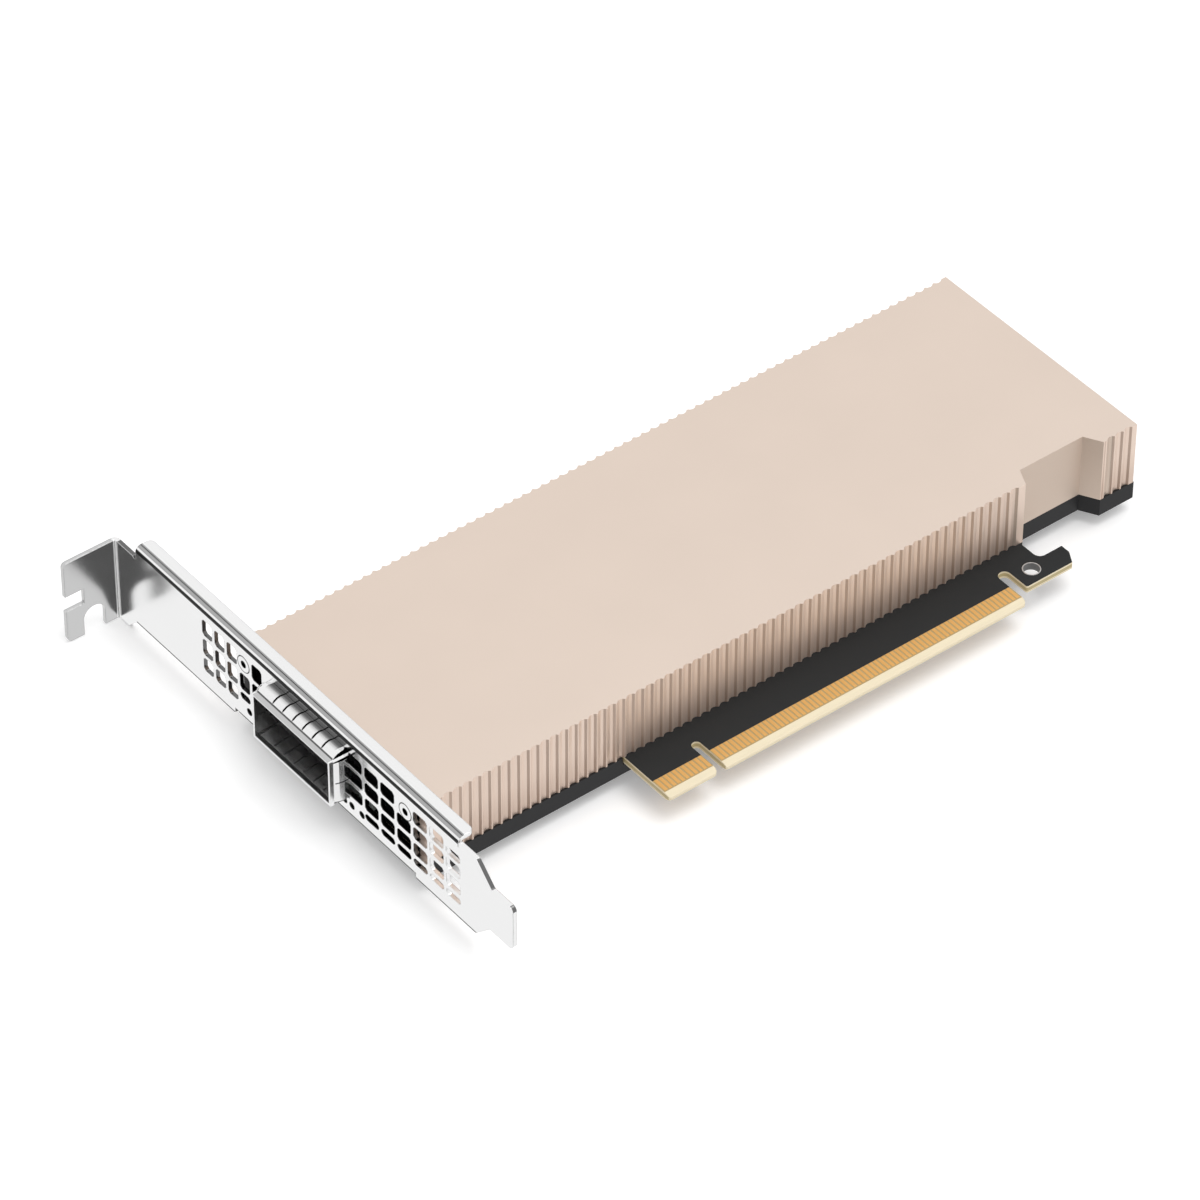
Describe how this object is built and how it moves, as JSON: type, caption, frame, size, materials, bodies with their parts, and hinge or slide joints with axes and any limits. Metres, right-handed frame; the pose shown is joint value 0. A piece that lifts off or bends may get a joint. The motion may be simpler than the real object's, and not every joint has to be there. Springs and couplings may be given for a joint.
{
  "type": "ethernet adapter card",
  "caption": "Half-length network adapter card with a fluted full-cover heat sink, one flat-top transceiver port, a vented full-height bracket and a gold edge connector.",
  "frame": {"origin": "middle of the card's footprint, at the height of the bracket's lowest edge", "axes": "+X from the bracket to the card's rear, +Y from the edge connector to the bracket's tab, +Z away from the component face of the board"},
  "size_m": [0.1792, 0.12, 0.0219],
  "materials": {
    "board": "glass-epoxy laminate under black solder mask",
    "gold": "hard gold plating",
    "tin": "bright tin plating",
    "sink": "fine blasted, champagne anodised",
    "plate": "black anodised",
    "screw": "nickel plated",
    "bracket": "bright nickel plated",
    "cage": "plated sheet",
    "spring": "bright plated spring strip",
    "black_plastic": "moulded",
    "led": "clear lens",
    "lid": "nickel plated",
    "pad": "soft filled silicone",
    "ceramic_body": "fired ceramic"
  },
  "bodies": {
    "root": {"circuit_board": "board", "edge_contacts_top": "gold", "edge_contacts_bottom": "gold", "hook_hole_plating": "tin", "heat_sink": "sink", "fin_pack": "sink", "back_plate": "plate", "back_plate_screws": "screw", "bracket": "bracket", "bracket_screws": "screw", "cage_shell": "cage", "cage_spring_band": "spring", "cage_heat_plate": "sink", "port_connector": "black_plastic", "port_contacts": "gold", "status_leds": "led", "main_chip_substrate": "board", "main_chip_lid": "lid", "thermal_pad": "pad", "inductors": "black_plastic", "power_stages": "black_plastic", "bulk_capacitors": "black_plastic", "chip_capacitors": "ceramic_body", "coupling_capacitors": "ceramic_body", "underside_capacitors": "ceramic_body", "flash_chip": "black_plastic", "oscillator": "lid"}
  },
  "joints": []
}
